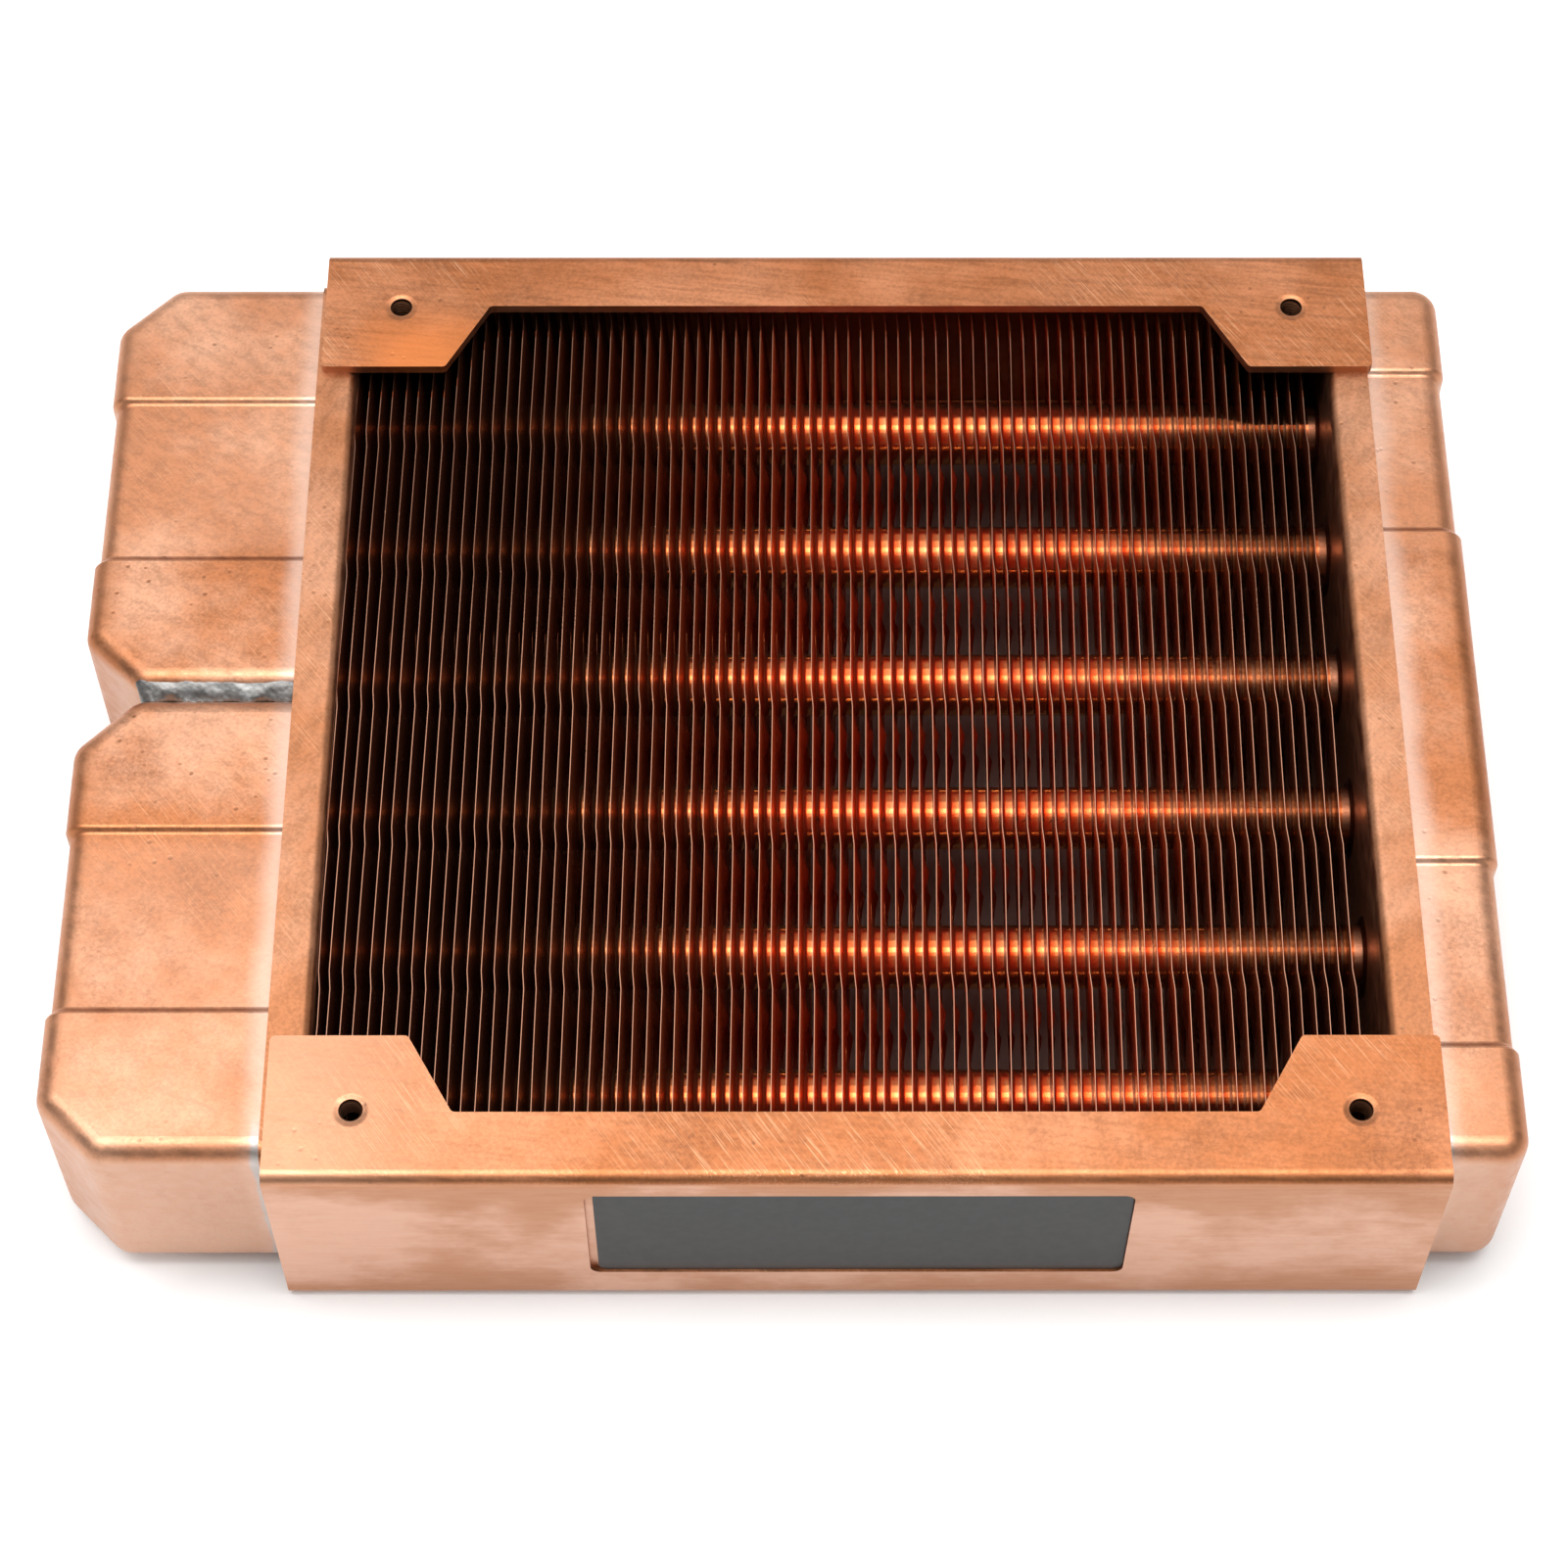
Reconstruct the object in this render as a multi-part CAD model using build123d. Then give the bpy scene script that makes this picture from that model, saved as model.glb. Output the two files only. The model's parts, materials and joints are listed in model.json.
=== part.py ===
from build123d import *
import os

# A single-fan water-cooling radiator, soldered together from copper sheet and tube.
# Frame: origin midway between the fan screw holes, on the lower flange face; +X towards the
# return tank, +Y towards the rear plate, +Z up. Millimetres.

# Screw pattern and side plates
FAN_PITCH = 105.0            # screw spacing of a 120 mm fan, both ways
HOLE_TO_FACE = 8.25          # screw axis to the plate's outer face
HOLE_TO_END = 8.95           # screw axis to the plate's end
HEIGHT = 29.0                # over both flanges
PLATE_SHEET = 1.2
PLATE_BEND_R = 1.5           # outside of the fold
PLATE_INSIDE_R = 0.3
TAB_DEPTH = 16.95            # flange width at the screw tabs
RAIL_DEPTH = 8.05            # flange width between the tabs
TAB_LENGTH = 14.45
TAB_SLOPE = 5.0              # length taken by the slanted edge beside each tab
TAB_CORNER_R = 0.6
SCREW_R = 1.25               # tapped M3, minor radius
SCREW_COLLAR_R = 2.2
SCREW_COLLAR_DEPTH = 1.6     # drawn collar under the flange

# Pressed pocket and name plate in the front plate
POCKET_LENGTH = 57.3
POCKET_X = 0.35
POCKET_BELOW = 6.2           # plate left under the pocket
POCKET_ABOVE = 3.4
POCKET_DEPTH = 0.7
POCKET_CORNER_R = 1.2
NAME_PLATE_SHEET = 0.4
NAME_PLATE_GAP = 0.08
NAME_PLATE_STRIP = 0.9       # copper left showing at the plate's -X end

# Header trays
CORE_SHIFT = -0.5            # the core sits off centre between the plate ends
HEADER_SETBACK = 4.55        # plate end to the tray's web
HEADER_DEPTH = 4.6
HEADER_SHEET = 1.0
HEADER_BEND_R = 1.2
HEADER_CORNER_R = 2.0
HEADER_END_GAP = 2.15        # tray end to the plate, filled by a solder seam

# Tanks
SUPPLY_TANK_LENGTH = 24.0
RETURN_TANK_LENGTH = 9.3
TANK_SHEET = 1.0
TANK_STEP = 0.2              # tank wall below the tray's flange
TANK_EDGE_R = 2.4
TANK_CORNER_R = 3.0
TANK_CHAMFER = 6.5
CHAMBER_GAP = 1.1            # air gap between the two supply chambers
LIP_CLEARANCE = 0.03
LIP_CORNER_R = 1.2
BAND_RELIEF = 0.5            # depth of the shallow pressed bands
BAND_RAMP = 1.0
SUPPLY_BAND_WIDTH = 23.1
RETURN_BAND_Y = 32.95
RETURN_BAND_WIDTH = 23.3

# Tubes and fins
TUBE_COUNT = 6
TUBE_R = 3.5
TUBE_WALL = 0.5
TUBE_TO_TRAY_END = 12.9
TUBE_STANDOUT = 0.9          # tube end past the web, inside the tank
TUBE_CLEARANCE = 0.02
FIN_COUNT = 76
FIN_SHEET = 0.15
FIN_START = 0.5              # first fin's middle to its web
FIN_END = 2.2                # last fin's middle to its web
FIN_PLATE_GAP = 0.2          # to the pocket's back and to the screw collars
FIN_COLLAR_GAP = 0.1         # collar end to the next fin

# Ports: G1/4 parallel thread
PORT_R = 5.72                # thread's minor radius
PORT_LENGTH = 9.0
PORT_WALL_GAP = 1.75         # bush to the tank's end walls
PORT_FLANGE_RIM = 1.3
PORT_FLANGE = 1.5

# Solder
RING_THICKNESS = 0.35
RING_FOOT = 1.1              # ring's foot width on the web
RING_TOP = 0.4
SEAM_WIDTH = 2.0
SEAM_SET_IN = 0.45
GAP_BEAD_LENGTH = 17.0
GAP_BEAD_DEPTH = 6.0
GAP_BEAD_BELOW_TOP = 0.9
BEAD_CLEARANCE = 0.02

# Worked out from the sizes above
PLATE_Y = FAN_PITCH / 2 + HOLE_TO_FACE
PLATE_X = FAN_PITCH / 2 + HOLE_TO_END
TRAY_Y = PLATE_Y - PLATE_SHEET - HEADER_END_GAP
TRAY_LOW = PLATE_SHEET
TRAY_TOP = HEIGHT - PLATE_SHEET
LEFT_WEB_X = PLATE_X - HEADER_SETBACK - CORE_SHIFT      # distance from the frame's origin, towards -X
RIGHT_WEB_X = PLATE_X - HEADER_SETBACK + CORE_SHIFT
TANK_LOW = TRAY_LOW + TANK_STEP
TANK_TOP = TRAY_TOP - TANK_STEP
TANK_Y = TRAY_Y - TANK_STEP
LIP_Y = TRAY_Y - HEADER_SHEET - LIP_CLEARANCE
CHAMBER_Y = (CHAMBER_GAP / 2 + TANK_Y) / 2              # middle of one supply chamber
TUBE_Z = HEIGHT / 2
TUBE_PITCH = 2 * (TRAY_Y - TUBE_TO_TRAY_END) / (TUBE_COUNT - 1)
TUBE_YS = [(i - (TUBE_COUNT - 1) / 2) * TUBE_PITCH for i in range(TUBE_COUNT)]
FIN_PITCH = (LEFT_WEB_X + RIGHT_WEB_X - FIN_START - FIN_END) / (FIN_COUNT - 1)
FIN_Y = PLATE_Y - PLATE_SHEET - POCKET_DEPTH - FIN_PLATE_GAP
FIN_HEIGHT = HEIGHT - 2 * (PLATE_SHEET + SCREW_COLLAR_DEPTH + FIN_PLATE_GAP)
POCKET_HEIGHT = HEIGHT - POCKET_BELOW - POCKET_ABOVE
POCKET_Z = POCKET_BELOW + POCKET_HEIGHT / 2
PORT_X = -(LEFT_WEB_X + HEADER_DEPTH + SUPPLY_TANK_LENGTH / 2)
PORT_SEAT_Z = TANK_LOW + BAND_RELIEF
PORT_BODY_R = (SUPPLY_TANK_LENGTH - 2 * TANK_SHEET - BAND_RELIEF) / 2 - PORT_WALL_GAP
PORT_FLANGE_R = PORT_BODY_R + PORT_FLANGE_RIM

PAST = 1.0                   # how far a cutting tool runs past the face it cuts


def block(x, y, z):
    """A box from three (low, high) pairs."""
    size = [high - low for low, high in (x, y, z)]
    middle = [(high + low) / 2 for low, high in (x, y, z)]
    return Pos(*middle) * Box(*size)


def screw_spots():
    return [(x * FAN_PITCH / 2, y * FAN_PITCH / 2) for x in (-1, 1) for y in (-1, 1)]


def side_plate(with_pocket):
    """One folded C-channel, made at the front: a web with two notched flanges and four tapped holes."""
    outside = -PLATE_Y
    channel = block((-PLATE_X, PLATE_X), (outside, outside + TAB_DEPTH), (0, HEIGHT))
    folds = channel.edges().filter_by(Axis.X).group_by(Axis.Y)[0]
    channel = fillet(folds, PLATE_BEND_R)
    inside = block(
        (-PLATE_X - PAST, PLATE_X + PAST),
        (outside + PLATE_SHEET, outside + TAB_DEPTH + PAST),
        (PLATE_SHEET, HEIGHT - PLATE_SHEET),
    )
    inside = fillet(inside.edges().filter_by(Axis.X).group_by(Axis.Y)[0], PLATE_INSIDE_R)
    channel -= inside

    tab_end = PLATE_X - TAB_LENGTH
    rail = outside + RAIL_DEPTH
    tip = outside + TAB_DEPTH
    notch = Polyline(
        (-tab_end, tip),
        (-tab_end + TAB_SLOPE, rail),
        (tab_end - TAB_SLOPE, rail),
        (tab_end, tip),
        (tab_end, tip + PAST),
        (-tab_end, tip + PAST),
        close=True,
    )
    channel -= extrude(make_face(notch), HEIGHT)
    corners = channel.edges().filter_by(Axis.Z).filter_by(lambda e: e.length < 2 * PLATE_SHEET)
    channel = fillet(corners, TAB_CORNER_R)

    for x, y in [spot for spot in screw_spots() if spot[1] < 0]:
        for flange_z, inward in ((PLATE_SHEET, 1), (HEIGHT - PLATE_SHEET, -1)):
            reach = sorted((flange_z - inward * PLATE_SHEET / 2, flange_z + inward * SCREW_COLLAR_DEPTH))
            collar = Cylinder(SCREW_COLLAR_R, reach[1] - reach[0])
            channel += Pos(x, y, sum(reach) / 2) * collar
        channel -= Pos(x, y, HEIGHT / 2) * Cylinder(SCREW_R, HEIGHT + 2 * PAST)

    if with_pocket:
        front = Pos(POCKET_X, outside, POCKET_Z) * Rot(90, 0, 0)
        middle = Pos(POCKET_X, outside + PLATE_SHEET / 2, POCKET_Z) * Rot(90, 0, 0)
        back = RectangleRounded(
            POCKET_LENGTH + 2 * PLATE_SHEET,
            POCKET_HEIGHT + 2 * PLATE_SHEET,
            POCKET_CORNER_R + PLATE_SHEET,
        )
        pocket = RectangleRounded(POCKET_LENGTH, POCKET_HEIGHT, POCKET_CORNER_R)
        channel += middle * extrude(back, -(PLATE_SHEET / 2 + POCKET_DEPTH))
        channel -= front * extrude(pocket, -POCKET_DEPTH)
    return channel


def name_plate():
    """The plain plate glued to the pocket's floor."""
    low = POCKET_X - POCKET_LENGTH / 2 + NAME_PLATE_STRIP
    high = POCKET_X + POCKET_LENGTH / 2 - NAME_PLATE_GAP
    tall = POCKET_HEIGHT - 2 * NAME_PLATE_GAP
    sheet = extrude(RectangleRounded(high - low, tall, POCKET_CORNER_R - NAME_PLATE_GAP), NAME_PLATE_SHEET)
    floor_y = -PLATE_Y + POCKET_DEPTH
    return Pos((low + high) / 2, floor_y, POCKET_Z) * Rot(90, 0, 0) * sheet


def header_tray():
    """A shallow pan with six tube holes. Its web's core face is at x = 0 and it opens towards +X."""
    pan = block((0, HEADER_DEPTH), (-TRAY_Y, TRAY_Y), (TRAY_LOW, TRAY_TOP))
    pan = fillet(pan.edges().filter_by(Axis.X), HEADER_CORNER_R)
    pan = fillet(pan.faces().sort_by(Axis.X)[0].edges(), HEADER_BEND_R)
    wall = HEADER_SHEET
    hollow = block(
        (wall, HEADER_DEPTH + PAST),
        (-TRAY_Y + wall, TRAY_Y - wall),
        (TRAY_LOW + wall, TRAY_TOP - wall),
    )
    pan -= fillet(hollow.edges().filter_by(Axis.X), HEADER_CORNER_R - wall)
    for y in TUBE_YS:
        hole = Cylinder(TUBE_R + TUBE_CLEARANCE, 4 * wall)
        pan -= Pos(wall / 2, y, TUBE_Z) * Rot(0, 90, 0) * hole
    return pan


def tank_body(length, y_low, y_high, chamfer, bands, inset):
    """The tank's bulged part as a solid, every wall moved in by inset. Its mouth is near x = 0."""
    x_in, x_out = inset, length - inset
    low, high = y_low + inset, y_high - inset
    bottom, top = TANK_LOW + inset, TANK_TOP - inset
    if chamfer:
        leg = chamfer - inset * (2 - 2 ** 0.5)
        outer = [(x_out - leg, low), (x_out, low + leg), (x_out, high - leg), (x_out - leg, high)]
    else:
        outer = [(x_out, low), (x_out, high)]
    plan = make_face(Polyline((x_in, low), *outer, (x_in, high), close=True))
    body = Pos(0, 0, bottom) * extrude(plan, top - bottom)

    def off_mouth(edge):
        return edge.center().X > x_in + PAST / 2

    body = fillet(body.edges().filter_by(Axis.Z).filter_by(off_mouth), TANK_CORNER_R - inset)
    rims = body.faces().sort_by(Axis.Z)[0].edges() + body.faces().sort_by(Axis.Z)[-1].edges()
    body = fillet(rims.filter_by(off_mouth), TANK_EDGE_R - inset)

    def cross_section(y, relief):
        width, tall = x_out - relief - x_in, top - bottom - 2 * relief
        face = Rectangle(width, tall)
        outer_corners = face.vertices().group_by(Axis.X)[-1]
        face = fillet(outer_corners, TANK_EDGE_R - inset)
        return Pos(x_in + width / 2, y, (bottom + top) / 2) * Rot(90, 0, 0) * face

    for centre, width in bands:
        a, b = centre - width / 2, centre + width / 2
        body -= block((x_in - PAST, x_out + PAST), (a, b), (bottom - PAST, top + PAST))
        body += loft(
            [
                cross_section(a, 0),
                cross_section(a + BAND_RAMP, BAND_RELIEF),
                cross_section(b - BAND_RAMP, BAND_RELIEF),
                cross_section(b, 0),
            ],
            ruled=True,
        )
    return body


def tank_shell(length, y_low, y_high, lip_low, lip_high, chamfer, bands):
    """A pressed tank: the bulged body and a narrower lip that slips into the header tray."""
    lip_z = (TRAY_LOW + HEADER_SHEET + LIP_CLEARANCE, TRAY_TOP - HEADER_SHEET - LIP_CLEARANCE)
    lip_end = HEADER_SHEET - HEADER_DEPTH
    wall = TANK_SHEET
    lip = block((lip_end, 0), (lip_low, lip_high), lip_z)
    lip = fillet(lip.edges().filter_by(Axis.X), LIP_CORNER_R)
    mouth = block(
        (lip_end - PAST, 2 * wall),
        (lip_low + wall, lip_high - wall),
        (lip_z[0] + wall, lip_z[1] - wall),
    )
    shell = tank_body(length, y_low, y_high, chamfer, bands, 0) + lip
    return shell - tank_body(length, y_low, y_high, chamfer, bands, wall) - mouth


def on_left(shape):
    """Moves a piece made with its tray's outer edge at x = 0 to the supply side, opening towards -X."""
    return mirror(Pos(LEFT_WEB_X + HEADER_DEPTH, 0, 0) * shape, about=Plane.YZ)


def supply_chamber():
    """The front one of the two supply chambers, with the hole for its port bush."""
    band = (CHAMBER_Y, SUPPLY_BAND_WIDTH)
    inner = CHAMBER_GAP / 2
    shell = tank_shell(SUPPLY_TANK_LENGTH, inner, TANK_Y, inner, LIP_Y, TANK_CHAMFER, [band])
    shell = mirror(on_left(shell), about=Plane.XZ)
    hole = extrude(RegularPolygon(PORT_BODY_R + LIP_CLEARANCE, 6), 2 * TANK_SHEET, both=True)
    return shell - Pos(PORT_X, -CHAMBER_Y, PORT_SEAT_Z) * hole


def return_tank():
    bands = [(side * RETURN_BAND_Y, RETURN_BAND_WIDTH) for side in (-1, 1)]
    shell = tank_shell(RETURN_TANK_LENGTH, -TANK_Y, TANK_Y, -LIP_Y, LIP_Y, 0, bands)
    return Pos(RIGHT_WEB_X + HEADER_DEPTH, 0, 0) * shell


def port_bush():
    """A bush with a G1/4 bore. Its six-sided body can't turn in the front chamber's hole."""
    body = extrude(RegularPolygon(PORT_BODY_R, 6), PORT_LENGTH)
    flange = extrude(Circle(PORT_FLANGE_R), PORT_FLANGE)
    bore = Cylinder(PORT_R, 4 * PORT_LENGTH)
    bush = Pos(PORT_X, -CHAMBER_Y, PORT_SEAT_Z - PORT_FLANGE)
    return bush * (body + flange - bore)


def tube(y):
    low, high = -LEFT_WEB_X - HEADER_SHEET - TUBE_STANDOUT, RIGHT_WEB_X + HEADER_SHEET + TUBE_STANDOUT
    wall = Cylinder(TUBE_R, high - low) - Cylinder(TUBE_R - TUBE_WALL, high - low + PAST)
    return Pos((low + high) / 2, y, TUBE_Z) * Rot(0, 90, 0) * wall


def fin_stack():
    """Separate flat fins, each with a drawn collar round every tube."""
    hole_r = TUBE_R + TUBE_CLEARANCE
    collar_end = FIN_PITCH - FIN_SHEET / 2 - FIN_COLLAR_GAP
    fin = Box(FIN_SHEET, 2 * FIN_Y, FIN_HEIGHT)
    for y in TUBE_YS:
        collar = Cylinder(hole_r + FIN_SHEET, collar_end)
        fin += Pos(collar_end / 2, y, 0) * Rot(0, 90, 0) * collar
    for y in TUBE_YS:
        fin -= Pos(0, y, 0) * Rot(0, 90, 0) * Cylinder(hole_r, 4 * FIN_PITCH)
    first = -LEFT_WEB_X + FIN_START
    places = [Pos(first + i * FIN_PITCH, 0, TUBE_Z) for i in range(FIN_COUNT)]
    return [place * fin for place in places]


def tube_rings(web_x, outward):
    """Solder rings round the tubes on the web's core side."""
    half = RING_THICKNESS / 2
    foot, top = TUBE_R + RING_FOOT, TUBE_R + RING_TOP
    ring = Cone(foot, top, RING_THICKNESS) - Cylinder(TUBE_R + TUBE_CLEARANCE, RING_THICKNESS + PAST)
    turn = Rot(0, -90 * outward, 0)
    return [Pos(web_x - outward * half, y, TUBE_Z) * turn * ring for y in TUBE_YS]


def corner_seams():
    """Solder that fills the gap between each tray end and its side plate."""
    clear = PLATE_INSIDE_R
    x = (PLATE_X - SEAM_SET_IN - SEAM_WIDTH, PLATE_X - SEAM_SET_IN)
    bar = block(x, (TRAY_Y, PLATE_Y - PLATE_SHEET), (PLATE_SHEET + clear, HEIGHT - PLATE_SHEET - clear))
    rear = [bar, mirror(bar, about=Plane.YZ)]
    return rear + [mirror(piece, about=Plane.XZ) for piece in rear]


def gap_bead():
    """Solder run into the top of the groove between the supply chambers."""
    groove = CHAMBER_GAP / 2 + TANK_EDGE_R
    x_in = -(LEFT_WEB_X + HEADER_DEPTH)
    top = TANK_TOP - GAP_BEAD_BELOW_TOP
    bead = block((x_in - GAP_BEAD_LENGTH, x_in), (-groove, groove), (top - GAP_BEAD_DEPTH, top))
    chamber = tank_body(SUPPLY_TANK_LENGTH, CHAMBER_GAP / 2, TANK_Y, TANK_CHAMFER, [], -BEAD_CLEARANCE)
    chamber = on_left(chamber)
    return bead - chamber - mirror(chamber, about=Plane.XZ)


def upside_down(shape):
    middle = Plane.XY.offset(HEIGHT / 2)
    return mirror(shape, about=middle)


front_chamber = supply_chamber()
front_bush = port_bush()
bead = gap_bead()
tray = header_tray()

nodes = {
    "front_side_plate": side_plate(with_pocket=True),
    "rear_side_plate": mirror(side_plate(with_pocket=False), about=Plane.XZ),
    "name_plate": name_plate(),
    "left_header_tray": mirror(Pos(LEFT_WEB_X, 0, 0) * tray, about=Plane.YZ),
    "right_header_tray": Pos(RIGHT_WEB_X, 0, 0) * tray,
    "outlet_tank_shell": front_chamber,
    "inlet_tank_shell": mirror(front_chamber, about=Plane.XZ),
    "return_tank_shell": return_tank(),
    "outlet_port_bush": front_bush,
    "inlet_port_bush": mirror(front_bush, about=Plane.XZ),
    "fins": fin_stack(),
    "left_tube_solder": tube_rings(-LEFT_WEB_X, -1),
    "right_tube_solder": tube_rings(RIGHT_WEB_X, 1),
    "corner_seam_solder": corner_seams(),
    "gap_solder_top": bead,
    "gap_solder_bottom": upside_down(bead),
}
for number, y in enumerate(TUBE_YS, start=1):
    nodes[f"tube_{number}"] = tube(y)

os.makedirs("parts", exist_ok=True)
for name, shape in nodes.items():
    if isinstance(shape, list):
        shape = Compound(children=shape)
    export_step(shape, f"parts/{name}.step")
    print(name, len(shape.solids()), "solids", round(shape.volume, 1), "mm3")
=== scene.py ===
import json
import random
from math import pi, radians, sin, tan

import bmesh
import bpy
from mathutils import Matrix, Vector, noise as lump_noise


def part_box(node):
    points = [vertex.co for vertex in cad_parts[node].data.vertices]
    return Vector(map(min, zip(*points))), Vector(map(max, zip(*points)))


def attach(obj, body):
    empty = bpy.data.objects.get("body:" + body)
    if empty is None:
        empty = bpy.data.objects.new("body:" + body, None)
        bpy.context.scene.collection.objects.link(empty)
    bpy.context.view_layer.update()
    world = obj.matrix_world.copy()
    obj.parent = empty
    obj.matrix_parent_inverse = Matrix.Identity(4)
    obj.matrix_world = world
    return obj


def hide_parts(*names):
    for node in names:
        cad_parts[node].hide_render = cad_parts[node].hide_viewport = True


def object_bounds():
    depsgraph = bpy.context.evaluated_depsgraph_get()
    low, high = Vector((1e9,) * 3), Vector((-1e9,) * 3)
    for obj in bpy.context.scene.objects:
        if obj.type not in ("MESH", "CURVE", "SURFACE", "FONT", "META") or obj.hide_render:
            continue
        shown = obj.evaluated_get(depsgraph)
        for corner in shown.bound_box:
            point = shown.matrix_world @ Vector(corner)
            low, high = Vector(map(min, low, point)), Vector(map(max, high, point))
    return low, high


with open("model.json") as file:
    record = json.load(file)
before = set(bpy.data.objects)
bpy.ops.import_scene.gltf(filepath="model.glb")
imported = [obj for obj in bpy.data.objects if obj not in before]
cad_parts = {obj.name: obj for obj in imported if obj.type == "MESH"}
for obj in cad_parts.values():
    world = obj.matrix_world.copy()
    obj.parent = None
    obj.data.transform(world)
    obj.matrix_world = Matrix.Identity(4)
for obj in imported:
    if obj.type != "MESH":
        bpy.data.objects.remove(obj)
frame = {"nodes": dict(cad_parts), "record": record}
cad_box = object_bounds()
nodes = frame["nodes"]
mm = 0.001

# ---------------------------------------------------------------------------------------------
# Tubes. Six drawn copper tubes run side by side between the two headers and carry the coolant.
# The fins' collars cover them but for short bare ends in narrow gaps, coloured dark brown as a painted
# shade.


def add(tree, kind, settings=None, **sockets):
    """Adds a node. A socket given a number, a colour or another node's output is set or linked."""
    made = tree.nodes.new(kind)
    for name, value in (settings or {}).items():
        setattr(made, name, value)
    for name, value in sockets.items():
        socket = made.inputs[name.replace("_", " ")]
        if isinstance(value, bpy.types.NodeSocket):
            tree.links.new(value, socket)
        else:
            socket.default_value = value
    return made


def calc(tree, operation, first, second=0.0, clamp=False):
    made = tree.nodes.new("ShaderNodeMath")
    made.operation = operation
    made.use_clamp = clamp
    for socket, value in zip(made.inputs, (first, second)):
        if isinstance(value, bpy.types.NodeSocket):
            tree.links.new(value, socket)
        else:
            socket.default_value = value
    return made.outputs[0]


def fade(tree, value, low, high, to_low=0.0, to_high=1.0):
    """Maps a range smoothly to another one."""
    made = add(tree, "ShaderNodeMapRange", {"interpolation_type": "SMOOTHSTEP"})
    tree.links.new(value, made.inputs["Value"])
    for name, number in zip(("From Min", "From Max", "To Min", "To Max"), (low, high, to_low, to_high)):
        made.inputs[name].default_value = number
    return made.outputs["Result"]


def blend_colours(tree, mask, first, second, how="MIX"):
    made = add(tree, "ShaderNodeMix", {"data_type": "RGBA", "blend_type": how})
    for index, value in ((0, mask), (6, first), (7, second)):
        socket = made.inputs[index]
        if isinstance(value, bpy.types.NodeSocket):
            tree.links.new(value, socket)
        else:
            socket.default_value = value
    return made.outputs[2]


def noise(tree, vector, scale, detail=3.0, roughness=0.5):
    made = add(tree, "ShaderNodeTexNoise", Scale=scale, Detail=detail, Roughness=roughness, Vector=vector)
    return made.outputs["Fac"]


def group_tree(name, inputs, outputs):
    """A shader node group with named inputs and outputs, and its two end nodes."""
    tree = bpy.data.node_groups.new(name, "ShaderNodeTree")
    for label, kind, value in inputs:
        socket = tree.interface.new_socket(label, in_out="INPUT", socket_type=kind)
        socket.default_value = value
    for label, kind in outputs:
        tree.interface.new_socket(label, in_out="OUTPUT", socket_type=kind)
    return tree, tree.nodes.new("NodeGroupInput"), tree.nodes.new("NodeGroupOutput")


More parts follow.
